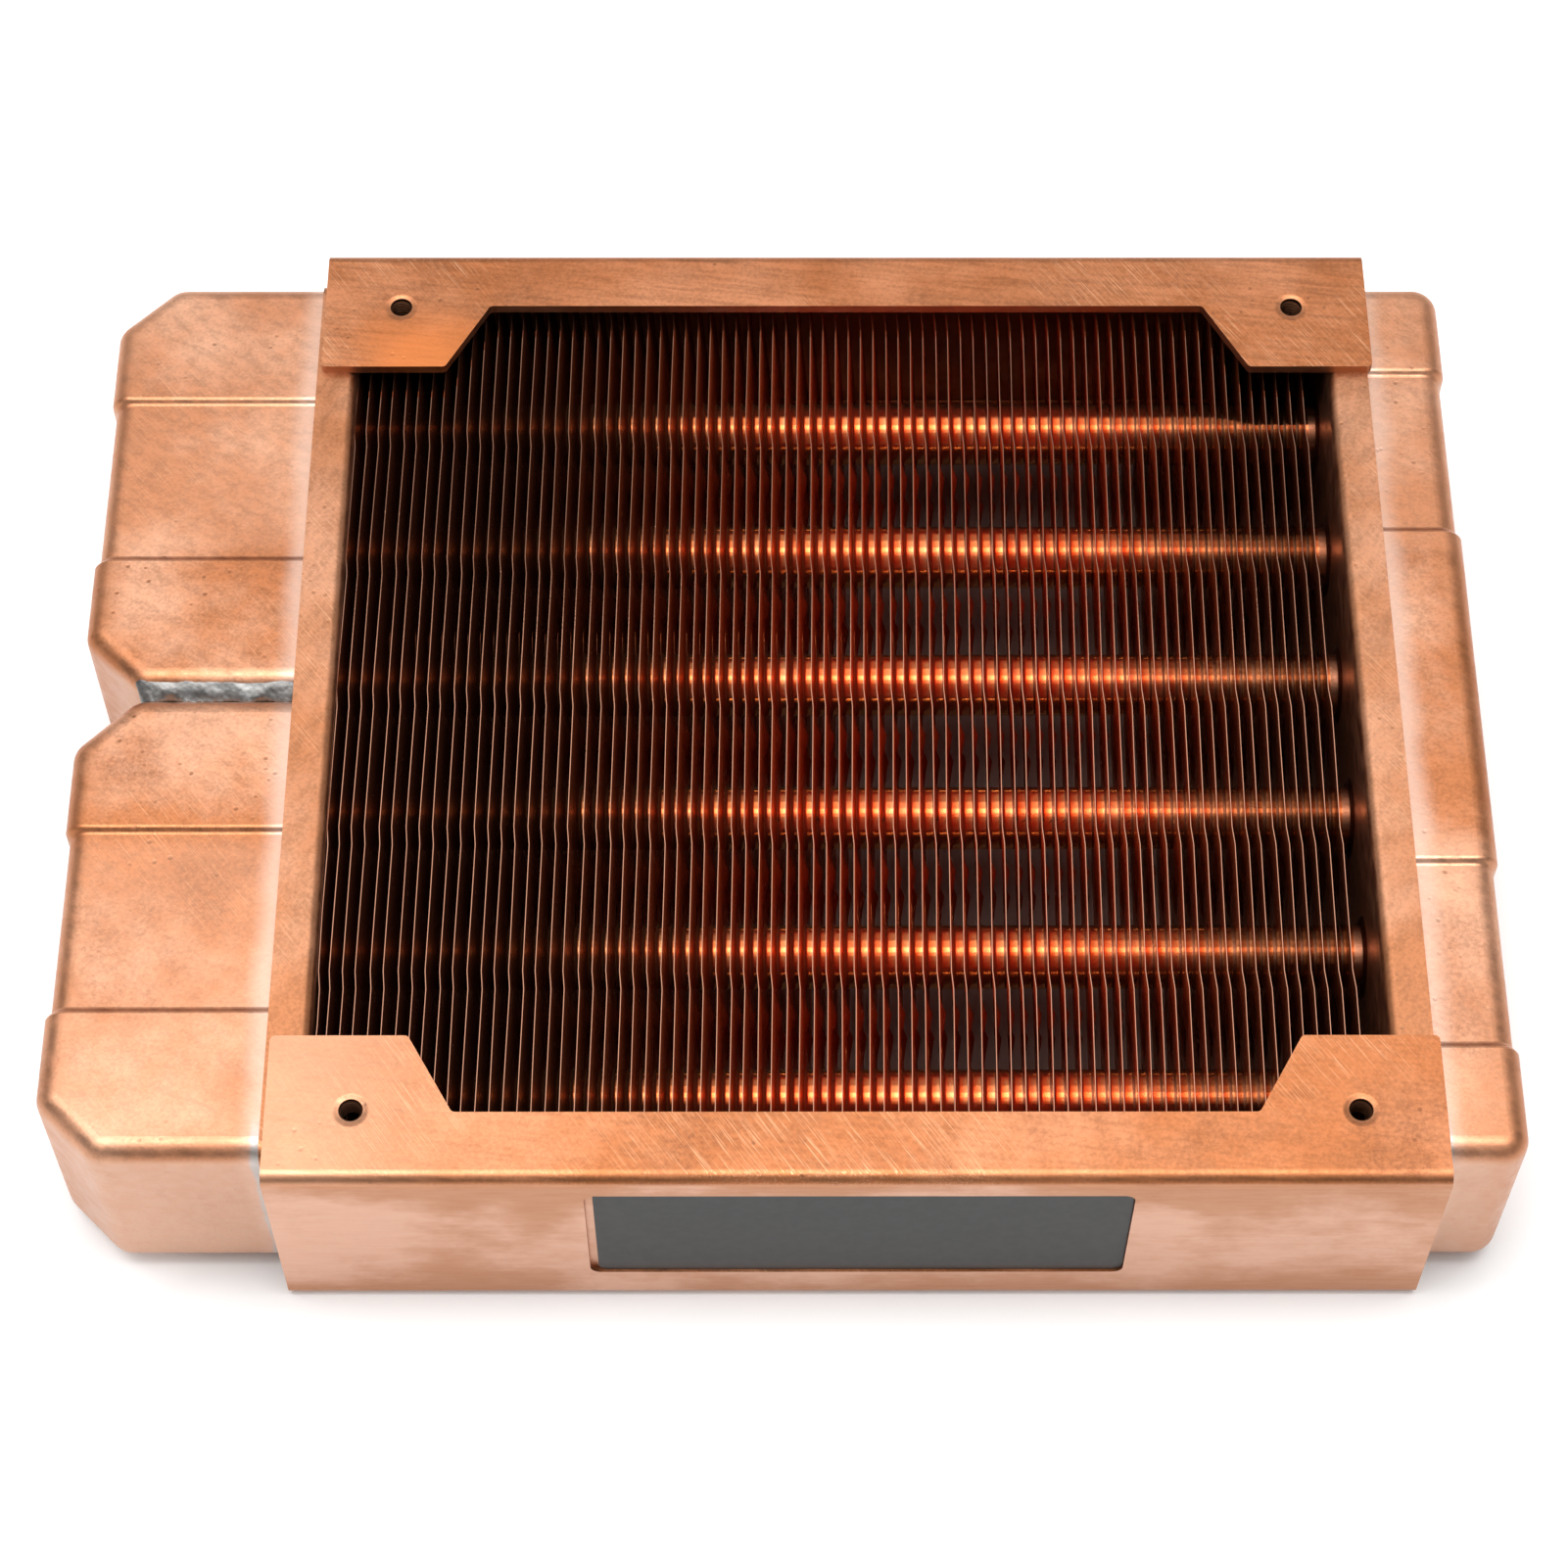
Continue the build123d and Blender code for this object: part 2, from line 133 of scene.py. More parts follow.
def metal_surface():
    """Rolled or pressed metal: brush lines, fine orange peel, clouds of tone and darker smudges."""
    number, colour, vector = "NodeSocketFloat", "NodeSocketColor", "NodeSocketVector"
    peel_scale, cloud_scale, patch_scale, speckle_scale, pore_scale = 2600, 34, 62, 1700, 520
    scratch_stretch = (170, 9000, 9000)
    scratch_bright = (0.96, 0.56, 0.33, 1)
    tree, given, out = group_tree(
        "metal surface",
        [
            ("Clean", colour, (0.9, 0.5, 0.3, 1)),
            ("Pale", colour, (0.95, 0.6, 0.45, 1)),
            ("Smudge", colour, (0.4, 0.15, 0.06, 1)),
            ("Brush Scale", vector, (60, 1500, 1500)),
            ("Turn", vector, (0, 0, 0)),
            ("Scratch Turn", vector, (0, 0, 0.75)),
            ("Smudge Amount", number, 0.4),
            ("Scratches", number, 0.3),
            ("Base Roughness", number, 0.4),
            ("Seed", number, 0.0),
        ],
        [("Color", colour), ("Roughness", number), ("Height", number)],
    )
    place = add(tree, "ShaderNodeTexCoord").outputs["Object"]
    turned = add(tree, "ShaderNodeMapping", Vector=place, Rotation=given.outputs["Turn"]).outputs[0]
    along = add(tree, "ShaderNodeMapping", Vector=turned, Scale=given.outputs["Brush Scale"]).outputs[0]
    shift = add(tree, "ShaderNodeCombineXYZ", X=given.outputs["Seed"]).outputs[0]
    seeded = add(tree, "ShaderNodeVectorMath", {"operation": "ADD"})
    tree.links.new(place, seeded.inputs[0])
    tree.links.new(shift, seeded.inputs[1])
    spot = seeded.outputs[0]

    brush = noise(tree, along, 1.0, 4, 0.6)
    peel = noise(tree, spot, peel_scale, 2, 0.6)
    cloud = fade(tree, noise(tree, spot, cloud_scale, 5, 0.62), 0.40, 0.64)
    patch = fade(tree, noise(tree, spot, patch_scale, 6, 0.66), 0.47, 0.68)
    speckle = fade(tree, noise(tree, spot, speckle_scale, 3, 0.7), 0.40, 0.64, 0.0, 0.6)
    smudge = calc(tree, "MULTIPLY", patch, calc(tree, "ADD", 0.40, speckle), True)
    smudge = calc(tree, "MULTIPLY", smudge, given.outputs["Smudge Amount"], True)
    across = add(tree, "ShaderNodeMapping", Vector=place, Rotation=given.outputs["Scratch Turn"]).outputs[0]
    scratch_way = add(tree, "ShaderNodeMapping", Vector=across, Scale=scratch_stretch).outputs[0]
    lines = fade(tree, noise(tree, scratch_way, 1.0, 2, 0.55), 0.54, 0.70)
    where = fade(tree, noise(tree, spot, 40, 3), 0.42, 0.62)
    scratch = calc(tree, "MULTIPLY", calc(tree, "MULTIPLY", lines, where), given.outputs["Scratches"])
    pores = add(tree, "ShaderNodeTexVoronoi", Vector=spot, Scale=pore_scale).outputs["Distance"]
    pitted = fade(tree, noise(tree, spot, 55, 2), 0.50, 0.60)
    pit = calc(tree, "MULTIPLY", fade(tree, pores, 0.17, 0.07), pitted)

    tone = blend_colours(tree, cloud, given.outputs["Clean"], given.outputs["Pale"])
    tone = blend_colours(tree, smudge, tone, given.outputs["Smudge"])
    grain = fade(tree, calc(tree, "ADD", brush, calc(tree, "MULTIPLY", peel, 0.9)), 0.62, 1.2, 0.80, 1.14)
    shade = add(tree, "ShaderNodeCombineColor", Red=grain, Green=grain, Blue=grain).outputs[0]
    tone = blend_colours(tree, 1.0, tone, shade, "MULTIPLY")
    tone = blend_colours(tree, calc(tree, "MULTIPLY", pit, 0.75), tone, given.outputs["Smudge"])
    tone = blend_colours(tree, scratch, tone, scratch_bright)
    tree.links.new(tone, out.inputs["Color"])

    rough = calc(tree, "ADD", given.outputs["Base Roughness"], fade(tree, brush, 0.3, 0.7, -0.07, 0.07))
    rough = calc(tree, "ADD", rough, calc(tree, "MULTIPLY", smudge, 0.16))
    rough = calc(tree, "SUBTRACT", rough, calc(tree, "MULTIPLY", scratch, 0.12), True)
    tree.links.new(rough, out.inputs["Roughness"])
    height = calc(tree, "ADD", calc(tree, "MULTIPLY", brush, 0.5), calc(tree, "MULTIPLY", peel, 0.55))
    height = calc(tree, "SUBTRACT", height, calc(tree, "MULTIPLY", scratch, 0.5))
    height = calc(tree, "SUBTRACT", height, calc(tree, "MULTIPLY", pit, 0.9))
    tree.links.new(height, out.inputs["Height"])
    return tree


METAL_SURFACE = metal_surface()


def metal(name, bump, bump_depth, **sockets):
    """A metallic material on the shared surface group, with its tree, group node and shader."""
    material = bpy.data.materials.new(name)
    material.use_nodes = True
    tree = material.node_tree
    shader = tree.nodes["Principled BSDF"]
    shader.inputs["Metallic"].default_value = 1.0
    skin = add(tree, "ShaderNodeGroup", {"node_tree": METAL_SURFACE}, **sockets)
    relief = add(tree, "ShaderNodeBump", Strength=bump, Distance=bump_depth, Height=skin.outputs["Height"])
    tree.links.new(skin.outputs["Color"], shader.inputs["Base Color"])
    tree.links.new(skin.outputs["Roughness"], shader.inputs["Roughness"])
    tree.links.new(relief.outputs[0], shader.inputs["Normal"])
    return material, tree, skin, shader


def wear(names, material):
    """Gives CAD nodes their finish."""
    for name in names:
        nodes[name].data.materials.clear()
        nodes[name].data.materials.append(material)


def smooth(mesh, limit):
    mesh.shade_smooth()
    mesh.set_sharp_from_angle(angle=radians(limit))


tube_names = sorted(name for name in nodes if name.startswith("tube_"))
# Dark browns: painted shade, since the bare ends show only in narrow gaps beside the webs.
tube_copper = metal(
    "drawn copper",
    bump=0.15,
    bump_depth=0.03 * mm,
    Clean=(0.30, 0.115, 0.06, 1),
    Pale=(0.42, 0.19, 0.11, 1),
    Smudge=(0.14, 0.045, 0.02, 1),
    Brush_Scale=(50, 1800, 1800),
    Smudge_Amount=0.5,
    Base_Roughness=0.36,
)[0]
wear(tube_names, tube_copper)

# ---------------------------------------------------------------------------------------------
# Fins. Seventy-six sheets of thin copper are pressed with six collared holes, bumps and a small
# fold midway between the tubes, then threaded onto the tubes so that each collar spaces the next.
# Clean copper in the middle of the stack, with painted shade on sheets and collars towards both headers.

fin_low, fin_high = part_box("fins")
tube_boxes = [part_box(name) for name in tube_names]
tube_ys = sorted((low.y + high.y) / 2 for low, high in tube_boxes)
tube_z = (tube_boxes[0][0].z + tube_boxes[0][1].z) / 2
tube_r = (tube_boxes[0][1].z - tube_boxes[0][0].z) / 2
tube_pitch = tube_ys[1] - tube_ys[0]
FIN_COUNT = 76
FIN_SHEET = 0.075 * mm
FIN_COLLAR_REACH = 1.33 * mm
FIN_LEAN = radians(3.6)
FIRST_FIN_INSET = 0.075 * mm
LAST_COLLAR_CLEARANCE = 0.03 * mm
fin_first = fin_low.x + FIRST_FIN_INSET
fin_step = (fin_high.x - FIN_COLLAR_REACH - LAST_COLLAR_CLEARANCE - fin_first) / (FIN_COUNT - 1)
CELLS_PER_PITCH = 16
CELLS_AT_END = 5
CELL_ROWS = 20
HOLE_CELLS = 4
FOLD_STEP = 0.22 * mm
FOLD_WIDTH = 1.1 * mm
COLLAR_FLARE = (
    (0, 0.42 * mm),
    (0.07 * mm, 0.22 * mm),
    (0.24 * mm, 0.07 * mm),
    (0.48 * mm, 0.02 * mm),
    (FIN_COLLAR_REACH - 0.07 * mm, 0.02 * mm),
)
BUMP_R = 2.0 * mm
BUMP_RISE = 0.62 * mm
BUMP_ZS = (tube_z + 3.1 * mm, tube_z - 2.6 * mm)
FIRST_LEAN_SHARE, LEAN_GAIN = 0.72, 0.1
LEAN_SPREAD = 0.004
BOW_MOST, WAVE_MOST, WAVES = 0.09 * mm, 0.05 * mm, 9
DENT_Y, DENT_HALF, DENT_DEPTH = -41 * mm, 14 * mm, 0.35 * mm


def fin_fold(y):
    """How far the sheet stands along X at this place: it drifts, then jogs back at each fold."""
    turns = (y - tube_ys[0]) / tube_pitch - 0.5
    whole = round(turns)
    away = (turns - whole) * tube_pitch
    if abs(away) < FOLD_WIDTH / 2:
        drift = -away / FOLD_WIDTH
    else:
        drift = turns - whole - (0.5 if away > 0 else -0.5)
    return drift * FOLD_STEP


def fin_bumps(y, z):
    rise = 0.0
    for index in range(len(tube_ys) - 1):
        middle = (tube_ys[index] + tube_ys[index + 1]) / 2
        for bump_z in BUMP_ZS:
            away = ((y - middle) ** 2 + (z - bump_z) ** 2) ** 0.5 / BUMP_R
            if away < 1:
                rise += BUMP_RISE * (1 - away * away) ** 1.5
    return rise


def pressed_fin():
    """One fin at x = 0: a grid with round holes let in, collars drawn up and the folds pressed."""
    bm = bmesh.new()
    middle_cells = CELLS_PER_PITCH * len(tube_ys)
    columns = middle_cells + 2 * CELLS_AT_END
    bmesh.ops.create_grid(bm, x_segments=columns, y_segments=CELL_ROWS, size=0.5)
    half_middle = tube_pitch * len(tube_ys) / 2
    row = (fin_high.z - fin_low.z) / CELL_ROWS
    for vert in bm.verts:
        count = vert.co.x * columns
        inside = max(-middle_cells / 2, min(middle_cells / 2, count))
        beyond = (count - inside) / CELLS_AT_END
        y = inside * tube_pitch / CELLS_PER_PITCH + beyond * (fin_high.y - half_middle)
        vert.co = Vector((0, y, tube_z + vert.co.y * CELL_ROWS * row))

    reach_y = HOLE_CELLS * tube_pitch / CELLS_PER_PITCH
    reach_z = HOLE_CELLS * row
    near_y, near_z = reach_y * 1.1, reach_z * 1.1
    for tube_y in tube_ys:
        cut = []
        for face in bm.faces:
            centre = face.calc_center_median()
            if abs(centre.y - tube_y) < reach_y and abs(centre.z - tube_z) < reach_z:
                cut.append(face)
        bmesh.ops.delete(bm, geom=cut, context="FACES")
    holes = []
    for tube_y in tube_ys:
        edge = [
            e
            for e in bm.edges
            if e.is_boundary
            and abs(e.verts[0].co.y - tube_y) < near_y
            and abs(e.verts[0].co.z - tube_z) < near_z
        ]
        place = Matrix.Translation((0, tube_y, tube_z)) @ Matrix.Rotation(pi / 2, 4, "Y")
        place = place @ Matrix.Rotation(pi / 4, 4, "Z")
        ring = bmesh.ops.create_circle(
            bm, segments=8 * HOLE_CELLS, radius=tube_r + COLLAR_FLARE[0][1], matrix=place
        )["verts"]
        rim = list({e for vert in ring for e in vert.link_edges})
        bmesh.ops.bridge_loops(bm, edges=edge + rim)
        holes.append((tube_y, rim))

    for vert in bm.verts:
        vert.co.x = fin_fold(vert.co.y) + fin_bumps(vert.co.y, vert.co.z)
    for tube_y, rim in holes:
        for (old_reach, old_swell), (reach, swell) in zip(COLLAR_FLARE, COLLAR_FLARE[1:]):
            made = bmesh.ops.extrude_edge_only(bm, edges=rim)["geom"]
            rim = [g for g in made if isinstance(g, bmesh.types.BMEdge)]
            ends = [g for g in made if isinstance(g, bmesh.types.BMVert)]
            narrowing = (tube_r + swell) / (tube_r + old_swell)
            bmesh.ops.scale(
                bm,
                verts=ends,
                vec=(1, narrowing, narrowing),
                space=Matrix.Translation((0, -tube_y, -tube_z)),
            )
            bmesh.ops.translate(bm, verts=ends, vec=(reach - old_reach, 0, 0))
    bmesh.ops.recalc_face_normals(bm, faces=bm.faces[:])
    bmesh.ops.solidify(bm, geom=bm.faces[:], thickness=FIN_SHEET)
    bmesh.ops.recalc_face_normals(bm, faces=bm.faces[:])
    pattern = bpy.data.meshes.new("fin pattern")
    bm.to_mesh(pattern)
    bm.free()
    return pattern


def fin_block(name, pattern, numbers, chance):
    """Some of the fins, each leaning and bowed a little differently, as one piece."""
    bm = bmesh.new()
    for number in numbers:
        old = len(bm.verts)
        bm.from_mesh(pattern)
        bm.verts.ensure_lookup_table()
        fresh = bm.verts[old:]
        lean = tan(FIN_LEAN * min(1.0, FIRST_LEAN_SHARE + LEAN_GAIN * number))
        lean += chance.uniform(-LEAN_SPREAD, LEAN_SPREAD)
        bow = chance.uniform(-BOW_MOST, BOW_MOST)
        wave = chance.uniform(-WAVE_MOST, WAVE_MOST)
        phase = chance.uniform(0, 2 * pi)
        place = fin_first + number * fin_step
        half = fin_high.y
        for vert in fresh:
            up = vert.co.z - tube_z
            away = min(1.0, abs(up) / (fin_high.z - tube_z))
            side = bow * (1 - (vert.co.y / half) ** 2) + wave * sin(WAVES * vert.co.y / half + phase)
            vert.co.x += place - up * lean + side * away
            if number == 0 and up > 0:
                dent = max(0.0, 1 - abs(vert.co.y - DENT_Y) / DENT_HALF)
                vert.co.x += DENT_DEPTH * away * dent
    mesh = bpy.data.meshes.new(name)
    bm.to_mesh(mesh)
    bm.free()
    smooth(mesh, 50)
    block = bpy.data.objects.new(name, mesh)
    bpy.context.scene.collection.objects.link(block)
    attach(block, "root")
    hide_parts("fins")
    return block


fin_copper, fin_tree, fin_skin, fin_shader = metal(
    "fin copper",
    bump=0.2,
    bump_depth=0.03 * mm,
    Clean=(0.92, 0.16, 0.04, 1),
    Pale=(0.94, 0.22, 0.07, 1),
    Smudge=(0.74, 0.11, 0.03, 1),
    Brush_Scale=(900, 60, 900),
    Smudge_Amount=0.3,
    Scratches=0.0,
    Base_Roughness=0.20,
)
# Collars and sheet edges get a paler golden copper than the deep-red faces: a painted highlight.
COLLAR_HIGHLIGHT = (1.0, 0.70, 0.37, 1)
# Painted shade: collars and sheets darken towards both headers, over these spans of x.
COLLAR_SHADE_LEFT = (0.50, 0.20, 0.10, 1)
COLLAR_SHADE_RIGHT = (0.44, 0.13, 0.045, 1)
SHEET_SHADE = (0.10, 0.03, 0.017, 1)
RIM_TONE = (0.42, 0.21, 0.14, 1)
RIM_FROM, RIM_TO = 0.22 * mm, 0.08 * mm
COLLAR_SHADE_LEFT_XS, COLLAR_SHADE_RIGHT_XS = (-8 * mm, -56 * mm), (26 * mm, 58 * mm)
SHEET_SHADE_LEFT_XS, SHEET_SHADE_RIGHT_XS = (4 * mm, -44 * mm), (22 * mm, 58 * mm)
SHEET_SHADE_LEFT_MOST, SHEET_SHADE_RIGHT_MOST = 0.95, 0.9
SHEET_METAL, COLLAR_METAL = 0.62, 0.96
COLLAR_POLISH = 0.09
# The mask below picks collars and edges by the way they face. It gives them the painted highlight colour,
# less roughness and more metal.
fin_facing = add(fin_tree, "ShaderNodeTexCoord").outputs["Normal"]
fin_across = add(fin_tree, "ShaderNodeSeparateXYZ", Vector=fin_facing).outputs["X"]
fin_collar_and_highlight = fade(fin_tree, calc(fin_tree, "MULTIPLY", fin_across, fin_across), 0.9, 0.25)
fin_place = add(fin_tree, "ShaderNodeTexCoord").outputs["Object"]
fin_spot = add(fin_tree, "ShaderNodeSeparateXYZ", Vector=fin_place)
fin_x = fin_spot.outputs["X"]
# Painted shade: the collar and sheet colours darken towards both headers.
collar_shade_left = fade(fin_tree, fin_x, *COLLAR_SHADE_LEFT_XS)
collar_shade_right = fade(fin_tree, fin_x, *COLLAR_SHADE_RIGHT_XS)
collar_colour = blend_colours(fin_tree, collar_shade_right, COLLAR_HIGHLIGHT, COLLAR_SHADE_RIGHT)
collar_colour = blend_colours(fin_tree, collar_shade_left, collar_colour, COLLAR_SHADE_LEFT)
sheet_shade_left = fade(fin_tree, fin_x, *SHEET_SHADE_LEFT_XS, 0.0, SHEET_SHADE_LEFT_MOST)
sheet_shade_right = fade(fin_tree, fin_x, *SHEET_SHADE_RIGHT_XS, 0.0, SHEET_SHADE_RIGHT_MOST)
sheet_shaded = calc(fin_tree, "ADD", sheet_shade_left, sheet_shade_right)
sheet_colour = blend_colours(fin_tree, sheet_shaded, fin_skin.outputs["Color"], SHEET_SHADE)
fin_colour = blend_colours(fin_tree, fin_collar_and_highlight, sheet_colour, collar_colour)
fin_rim = fade(fin_tree, fin_spot.outputs["Z"], fin_high.z - RIM_FROM, fin_high.z - RIM_TO)
fin_colour = blend_colours(fin_tree, fin_rim, fin_colour, RIM_TONE)
polished = calc(fin_tree, "MULTIPLY", fin_collar_and_highlight, COLLAR_POLISH)
fin_rough = calc(fin_tree, "SUBTRACT", fin_skin.outputs["Roughness"], polished)
bare_gain = calc(fin_tree, "MULTIPLY", fin_collar_and_highlight, COLLAR_METAL - SHEET_METAL)
fin_metal = calc(fin_tree, "ADD", bare_gain, SHEET_METAL)
fin_tree.links.new(fin_colour, fin_shader.inputs["Base Color"])
fin_tree.links.new(fin_rough, fin_shader.inputs["Roughness"])
fin_tree.links.new(fin_metal, fin_shader.inputs["Metallic"])
fin_shader.inputs["Specular Tint"].default_value = (1.0, 0.80, 0.60, 1)
fin_shader.inputs["Specular IOR Level"].default_value = 0.0
fin_chance = random.Random(76)
fin_pattern = pressed_fin()
FIN_BLOCKS = 5
for index in range(FIN_BLOCKS):
    span = range(index * FIN_COUNT // FIN_BLOCKS, (index + 1) * FIN_COUNT // FIN_BLOCKS)
    fin_piece = fin_block(f"fin_block_{index + 1}", fin_pattern, span, fin_chance)
    fin_piece.data.materials.append(fin_copper)
bpy.data.meshes.remove(fin_pattern)

# ---------------------------------------------------------------------------------------------
# Header trays. A pressed copper pan at each end of the core holds the tube ends in its web and
# takes the tank's lip between its flanges. Brushed along its length, browned by the torch.


def paint_bend_shade_and_side_light(tree, skin_colour, dark, amount, side_light_tone, side_amount):
    """Paints shade where a face rolls over from level to upright, and a paler reflection on the upright
    faces.
    """
    facing = add(tree, "ShaderNodeTexCoord").outputs["Normal"]
    rise = add(tree, "ShaderNodeSeparateXYZ", Vector=facing).outputs["Z"]
    square = calc(tree, "MULTIPLY", rise, rise)
    side = calc(tree, "MULTIPLY", fade(tree, square, 0.3, 0.0), side_amount)
    toned = blend_colours(tree, side, skin_colour, side_light_tone)
    level_share = calc(tree, "SUBTRACT", 1.0, square)
    roll = calc(tree, "MULTIPLY", calc(tree, "MULTIPLY", square, 4.0), level_share)
    place = add(tree, "ShaderNodeTexCoord").outputs["Object"]
    uneven = fade(tree, noise(tree, place, 130, 4, 0.6), 0.3, 0.7, 0.35, 1.0)
    mask = calc(tree, "MULTIPLY", calc(tree, "MULTIPLY", fade(tree, roll, 0.15, 1.0), amount), uneven)
    return blend_colours(tree, mask, toned, dark)


tray_copper, tray_tree, tray_skin, tray_shader = metal(
    "tray copper",
    bump=0.35,
    bump_depth=0.05 * mm,
    Clean=(0.44, 0.178, 0.082, 1),
    Pale=(0.54, 0.265, 0.155, 1),
    Smudge=(0.36, 0.16, 0.08, 1),
    Brush_Scale=(700, 260, 700),
    Turn=(0, 0, 0.5),
    Scratch_Turn=(0, 0, 0.9),
    Smudge_Amount=0.6,
    Scratches=0.25,
    Base_Roughness=0.40,
    Seed=3.0,
)
# Painted shade on the tray's bends and a paler painted reflection on its upright faces.
tray_colour = paint_bend_shade_and_side_light(
    tray_tree,
    tray_skin.outputs["Color"],
    dark=(0.40, 0.16, 0.07, 1),
    amount=0.3,
    side_light_tone=(0.56, 0.27, 0.16, 1),
    side_amount=0.5,
)
tray_tree.links.new(tray_colour, tray_shader.inputs["Base Color"])
wear(["left_header_tray", "right_header_tray"], tray_copper)

# ---------------------------------------------------------------------------------------------
# Tanks. Two short chambers on the supply side and one narrow return tank, pressed from copper
# sheet, slipped into the trays and soldered. The torch leaves a pale tinned strip beside the tray.

tank_copper, tank_tree, tank_skin, tank_shader = metal(
    "tank copper",
    bump=0.45,
    bump_depth=0.06 * mm,
    Clean=(0.46, 0.172, 0.073, 1),
    Pale=(0.63, 0.33, 0.205, 1),
    Smudge=(0.27, 0.11, 0.055, 1),
    Brush_Scale=(420, 900, 700),
    Turn=(0, 0, 0.5),
    Scratch_Turn=(0, 0, 0.9),
    Smudge_Amount=0.62,
    Scratches=0.2,
    Base_Roughness=0.42,
    Seed=7.0,
)
# The first two colours paint shade on the tanks' bends and a paler reflection on their upright faces.
BEND_SHADE = (0.42, 0.17, 0.08, 1)
TANK_SIDE_LIGHT = (0.53, 0.335, 0.245, 1)
TORCH_BROWN = (0.42, 0.15, 0.055, 1)
TINNED_PALE = (0.68, 0.48, 0.395, 1)
WIPED_PALE = (0.84, 0.50, 0.34, 1)
TIN_GREY = (0.50, 0.47, 0.45, 1)
TINNED_OUT, TINNED_IN, TIN_RAGGED = 4.2 * mm, 1.3 * mm, 2.4 * mm
TIN_LINE_OUT, TIN_LINE_IN = 2.5 * mm, 1.9 * mm
TIN_LINE_YS = (-52 * mm, -56 * mm)
TORCH_IN, TORCH_OUT = 5.5 * mm, 1.0 * mm
PALE_END_YS, PALE_BAND_YS = (36 * mm, 52 * mm), (17 * mm, 21 * mm)
tank_place = add(tank_tree, "ShaderNodeTexCoord").outputs["Object"]
tank_spot = add(tank_tree, "ShaderNodeSeparateXYZ", Vector=tank_place)
tank_x, tank_y = tank_spot.outputs["X"], tank_spot.outputs["Y"]
tank_off = calc(tank_tree, "ABSOLUTE", tank_y)
left_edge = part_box("left_header_tray")[0].x
right_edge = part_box("right_header_tray")[1].x
ragged = calc(tank_tree, "MULTIPLY", noise(tank_tree, tank_place, 90, 3), TIN_RAGGED)
from_left = calc(tank_tree, "SUBTRACT", left_edge, tank_x)
from_right = calc(tank_tree, "SUBTRACT", tank_x, right_edge)
from_tray = calc(tank_tree, "ADD", calc(tank_tree, "MAXIMUM", from_left, from_right), ragged)
tinned = fade(tank_tree, from_tray, TINNED_OUT, TINNED_IN, 0.0, 0.65)
tin_line = fade(tank_tree, from_tray, TIN_LINE_OUT, TIN_LINE_IN, 0.0, 0.9)
tin_line = calc(tank_tree, "MULTIPLY", tin_line, fade(tank_tree, tank_y, *TIN_LINE_YS))
outer_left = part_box("inlet_tank_shell")[0].x
outer_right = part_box("return_tank_shell")[1].x
from_outer_left = calc(tank_tree, "SUBTRACT", tank_x, outer_left)
from_outer_right = calc(tank_tree, "SUBTRACT", outer_right, tank_x)
from_end = calc(tank_tree, "MINIMUM", from_outer_left, from_outer_right)
torch_clouds = fade(tank_tree, noise(tank_tree, tank_place, 85, 4), 0.3, 0.6, 0.3)
torched = fade(tank_tree, from_end, TORCH_IN, TORCH_OUT, 0.0, 0.5)
torched = calc(tank_tree, "MULTIPLY", torched, torch_clouds)
end_pale = fade(tank_tree, tank_off, *PALE_END_YS, 0.0, 0.2)
end_pale = calc(tank_tree, "MULTIPLY", end_pale, calc(tank_tree, "LESS_THAN", tank_x, 0.0))
band_pale = fade(tank_tree, tank_off, *PALE_BAND_YS, 0.0, 0.16)
wiped = calc(tank_tree, "MAXIMUM", end_pale, band_pale)
tank_colour = paint_bend_shade_and_side_light(
    tank_tree,
    tank_skin.outputs["Color"],
    dark=BEND_SHADE,
    amount=0.25,
    side_light_tone=TANK_SIDE_LIGHT,
    side_amount=0.75,
)
for mask, tone in (
    (torched, TORCH_BROWN),
    (tinned, TINNED_PALE),
    (wiped, WIPED_PALE),
    (tin_line, TIN_GREY),
):
    tank_colour = blend_colours(tank_tree, mask, tank_colour, tone)
tank_tree.links.new(tank_colour, tank_shader.inputs["Base Color"])
wear(["inlet_tank_shell", "outlet_tank_shell", "return_tank_shell"], tank_copper)

BAND_RAMP, BAND_RELIEF = 1.0 * mm, 0.5 * mm
CURVE_FROM, CURVE_TO = 0.15 * BAND_RAMP, 0.85 * BAND_RAMP
SUPPLY_BAND = (17.325 * mm, 40.425 * mm)
RETURN_BAND = (21.3 * mm, 44.6 * mm)


def rounded_ramp(edges):
    """Height to add on a band's straight ramps so that they start and end in a soft curve."""
    into = calc(
        tank_tree,
        "MINIMUM",
        calc(tank_tree, "SUBTRACT", tank_off, edges[0]),
        calc(tank_tree, "SUBTRACT", edges[1], tank_off),
    )
    straight = calc(tank_tree, "DIVIDE", into, BAND_RAMP, True)
    curved = fade(tank_tree, into, CURVE_FROM, CURVE_TO)
    return calc(tank_tree, "SUBTRACT", straight, curved)


on_return = calc(tank_tree, "GREATER_THAN", tank_x, 0.0)
on_supply = calc(tank_tree, "SUBTRACT", 1.0, on_return)
ramps = calc(
    tank_tree,
    "ADD",
    calc(tank_tree, "MULTIPLY", rounded_ramp(SUPPLY_BAND), on_supply),
    calc(tank_tree, "MULTIPLY", rounded_ramp(RETURN_BAND), on_return),
)
ramp_relief = add(tank_tree, "ShaderNodeBump", Strength=0.6, Distance=BAND_RELIEF, Height=ramps)
tank_relief = tank_shader.inputs["Normal"].links[0].from_node
tank_tree.links.new(ramp_relief.outputs[0], tank_relief.inputs["Normal"])

# ---------------------------------------------------------------------------------------------
# Port bushes. Two turned brass bushes with G1/4 threads, soldered into the underside of the
# supply chambers, one for each hose fitting.

